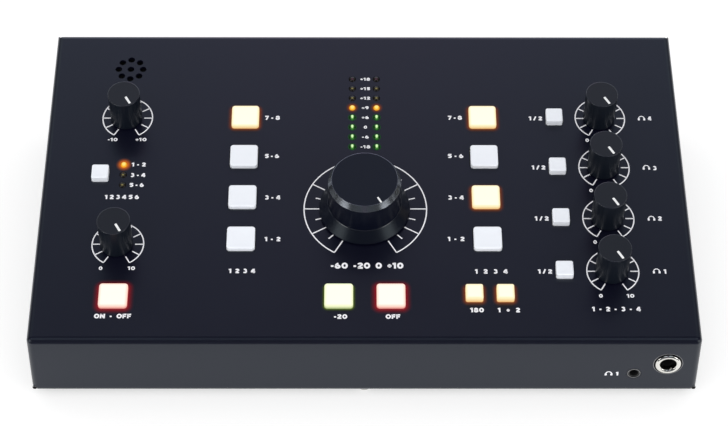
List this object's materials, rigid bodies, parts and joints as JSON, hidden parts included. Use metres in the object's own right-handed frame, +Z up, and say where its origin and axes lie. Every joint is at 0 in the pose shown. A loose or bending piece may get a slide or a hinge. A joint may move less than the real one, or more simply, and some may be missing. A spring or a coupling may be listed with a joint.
{
  "type": "studio monitor controller",
  "caption": "Sloping desktop controller in folded steel, with turning level dials, lit push keys, a lamp meter, a talkback microphone and headphone and line sockets.",
  "frame": {"origin": "on the floor, under the middle of the overall box", "axes": "+X to the right, +Y to the back, +Z up; the sloping panel faces up and to the front"},
  "size_m": [0.2672, 0.166, 0.0691],
  "materials": {
    "case_paint": "satin dark charcoal powder coat",
    "tray_paint": "satin black powder coat",
    "knob_black": "satin black",
    "key_white": "translucent white, satin",
    "rubber": "matt",
    "steel": "zinc plated",
    "nickel": "bright nickel",
    "brass": "plated",
    "board_green": "solder mask",
    "ribbon_grey": "satin",
    "socket_black": "satin",
    "switch_black": "semi-gloss",
    "lamp_green": "tinted clear",
    "lamp_amber": "tinted clear",
    "lamp_red": "tinted clear",
    "light_chip": "clear"
  },
  "bodies": {
    "chassis": {"top_cover": "case_paint", "base_tray": "tray_paint", "rubber_feet": "rubber", "machine_screws": "steel", "control_board": "board_green", "audio_board": "board_green", "board_spacers": "steel", "ribbon_cable": "ribbon_grey", "key_switches": "socket_black", "key_lights": "light_chip", "small_pots": "steel", "main_pot": "steel", "panel_nuts": "steel", "green_lamps": "lamp_green", "amber_lamps": "lamp_amber", "red_lamps": "lamp_red", "mic_boot": "rubber", "mic_capsule": "steel", "front_jack": "socket_black", "front_jack_nose": "nickel", "mini_jacks": "socket_black", "line_jacks": "socket_black", "coax_socket": "brass", "optical_socket": "socket_black", "power_inlet": "socket_black", "power_switch": "switch_black"},
    "talkback_key": {"talkback_key": "key_white"},
    "dim_key": {"dim_key": "key_white"},
    "mute_key": {"mute_key": "key_white"},
    "source_key_1": {"source_key_1": "key_white"},
    "speaker_key_1": {"speaker_key_1": "key_white"},
    "phones_key_1": {"phones_key_1": "key_white"},
    "source_key_2": {"source_key_2": "key_white"},
    "speaker_key_2": {"speaker_key_2": "key_white"},
    "phones_key_2": {"phones_key_2": "key_white"},
    "source_key_3": {"source_key_3": "key_white"},
    "speaker_key_3": {"speaker_key_3": "key_white"},
    "phones_key_3": {"phones_key_3": "key_white"},
    "source_key_4": {"source_key_4": "key_white"},
    "speaker_key_4": {"speaker_key_4": "key_white"},
    "phones_key_4": {"phones_key_4": "key_white"},
    "polarity_key": {"polarity_key": "key_white"},
    "mono_key": {"mono_key": "key_white"},
    "input_key": {"input_key": "key_white"},
    "input_dial": {"input_knob": "knob_black", "input_shaft": "steel"},
    "talkback_dial": {"talkback_knob": "knob_black", "talkback_shaft": "steel"},
    "phones_1_dial": {"phones_1_knob": "knob_black", "phones_1_shaft": "steel"},
    "phones_2_dial": {"phones_2_knob": "knob_black", "phones_2_shaft": "steel"},
    "phones_3_dial": {"phones_3_knob": "knob_black", "phones_3_shaft": "steel"},
    "phones_4_dial": {"phones_4_knob": "knob_black", "phones_4_shaft": "steel"},
    "main_dial": {"main_knob": "knob_black", "main_shaft": "steel"},
    "power_rocker": {"power_rocker": "switch_black"}
  },
  "joints": [
    {"name": "talkback_key_press", "type": "slide", "parent": "chassis", "child": "talkback_key", "axis": [0, 0.165, -0.9863], "range_m": [0, 0.001], "stiffness_N_per_m": 800, "springref_m": -0.001},
    {"name": "dim_key_press", "type": "slide", "parent": "chassis", "child": "dim_key", "axis": [0, 0.165, -0.9863], "range_m": [0, 0.001], "stiffness_N_per_m": 800, "springref_m": -0.001},
    {"name": "mute_key_press", "type": "slide", "parent": "chassis", "child": "mute_key", "axis": [0, 0.165, -0.9863], "range_m": [0, 0.001], "stiffness_N_per_m": 800, "springref_m": -0.001},
    {"name": "source_key_1_press", "type": "slide", "parent": "chassis", "child": "source_key_1", "axis": [0, 0.165, -0.9863], "range_m": [0, 0.001], "stiffness_N_per_m": 800, "springref_m": -0.001},
    {"name": "speaker_key_1_press", "type": "slide", "parent": "chassis", "child": "speaker_key_1", "axis": [0, 0.165, -0.9863], "range_m": [0, 0.001], "stiffness_N_per_m": 800, "springref_m": -0.001},
    {"name": "phones_key_1_press", "type": "slide", "parent": "chassis", "child": "phones_key_1", "axis": [0, 0.165, -0.9863], "range_m": [0, 0.001], "stiffness_N_per_m": 800, "springref_m": -0.001},
    {"name": "source_key_2_press", "type": "slide", "parent": "chassis", "child": "source_key_2", "axis": [0, 0.165, -0.9863], "range_m": [0, 0.001], "stiffness_N_per_m": 800, "springref_m": -0.001},
    {"name": "speaker_key_2_press", "type": "slide", "parent": "chassis", "child": "speaker_key_2", "axis": [0, 0.165, -0.9863], "range_m": [0, 0.001], "stiffness_N_per_m": 800, "springref_m": -0.001},
    {"name": "phones_key_2_press", "type": "slide", "parent": "chassis", "child": "phones_key_2", "axis": [0, 0.165, -0.9863], "range_m": [0, 0.001], "stiffness_N_per_m": 800, "springref_m": -0.001},
    {"name": "source_key_3_press", "type": "slide", "parent": "chassis", "child": "source_key_3", "axis": [0, 0.165, -0.9863], "range_m": [0, 0.001], "stiffness_N_per_m": 800, "springref_m": -0.001},
    {"name": "speaker_key_3_press", "type": "slide", "parent": "chassis", "child": "speaker_key_3", "axis": [0, 0.165, -0.9863], "range_m": [0, 0.001], "stiffness_N_per_m": 800, "springref_m": -0.001},
    {"name": "phones_key_3_press", "type": "slide", "parent": "chassis", "child": "phones_key_3", "axis": [0, 0.165, -0.9863], "range_m": [0, 0.001], "stiffness_N_per_m": 800, "springref_m": -0.001},
    {"name": "source_key_4_press", "type": "slide", "parent": "chassis", "child": "source_key_4", "axis": [0, 0.165, -0.9863], "range_m": [0, 0.001], "stiffness_N_per_m": 800, "springref_m": -0.001},
    {"name": "speaker_key_4_press", "type": "slide", "parent": "chassis", "child": "speaker_key_4", "axis": [0, 0.165, -0.9863], "range_m": [0, 0.001], "stiffness_N_per_m": 800, "springref_m": -0.001},
    {"name": "phones_key_4_press", "type": "slide", "parent": "chassis", "child": "phones_key_4", "axis": [0, 0.165, -0.9863], "range_m": [0, 0.001], "stiffness_N_per_m": 800, "springref_m": -0.001},
    {"name": "polarity_key_press", "type": "slide", "parent": "chassis", "child": "polarity_key", "axis": [0, 0.165, -0.9863], "range_m": [0, 0.001], "stiffness_N_per_m": 800, "springref_m": -0.001},
    {"name": "mono_key_press", "type": "slide", "parent": "chassis", "child": "mono_key", "axis": [0, 0.165, -0.9863], "range_m": [0, 0.001], "stiffness_N_per_m": 800, "springref_m": -0.001},
    {"name": "input_key_press", "type": "slide", "parent": "chassis", "child": "input_key", "axis": [0, 0.165, -0.9863], "range_m": [0, 0.001], "stiffness_N_per_m": 800, "springref_m": -0.001},
    {"name": "input_turn", "type": "hinge", "parent": "chassis", "child": "input_dial", "pos_m": [-0.1007, 0.02921, 0.05184], "axis": [0, -0.165, 0.9863], "range_deg": [0, 300]},
    {"name": "talkback_turn", "type": "hinge", "parent": "chassis", "child": "talkback_dial", "pos_m": [-0.1007, -0.0352, 0.04106], "axis": [0, -0.165, 0.9863], "range_deg": [0, 300]},
    {"name": "phones_1_turn", "type": "hinge", "parent": "chassis", "child": "phones_1_dial", "pos_m": [0.0997, 0.02921, 0.05184], "axis": [0, -0.165, 0.9863], "range_deg": [0, 300]},
    {"name": "phones_2_turn", "type": "hinge", "parent": "chassis", "child": "phones_2_dial", "pos_m": [0.0997, 0.0034, 0.04752], "axis": [0, -0.165, 0.9863], "range_deg": [0, 300]},
    {"name": "phones_3_turn", "type": "hinge", "parent": "chassis", "child": "phones_3_dial", "pos_m": [0.0997, -0.02242, 0.0432], "axis": [0, -0.165, 0.9863], "range_deg": [0, 300]},
    {"name": "phones_4_turn", "type": "hinge", "parent": "chassis", "child": "phones_4_dial", "pos_m": [0.0997, -0.04823, 0.03888], "axis": [0, -0.165, 0.9863], "range_deg": [0, 300]},
    {"name": "main_turn", "type": "hinge", "parent": "chassis", "child": "main_dial", "pos_m": [0.0001, -0.01764, 0.044], "axis": [0, -0.165, 0.9863], "range_deg": [0, 300]},
    {"name": "power_rocker_tip", "type": "hinge", "parent": "chassis", "child": "power_rocker", "pos_m": [0.1126, 0.07396, 0.027], "axis": [1, 0, 0], "range_deg": [-16, 0]}
  ]
}
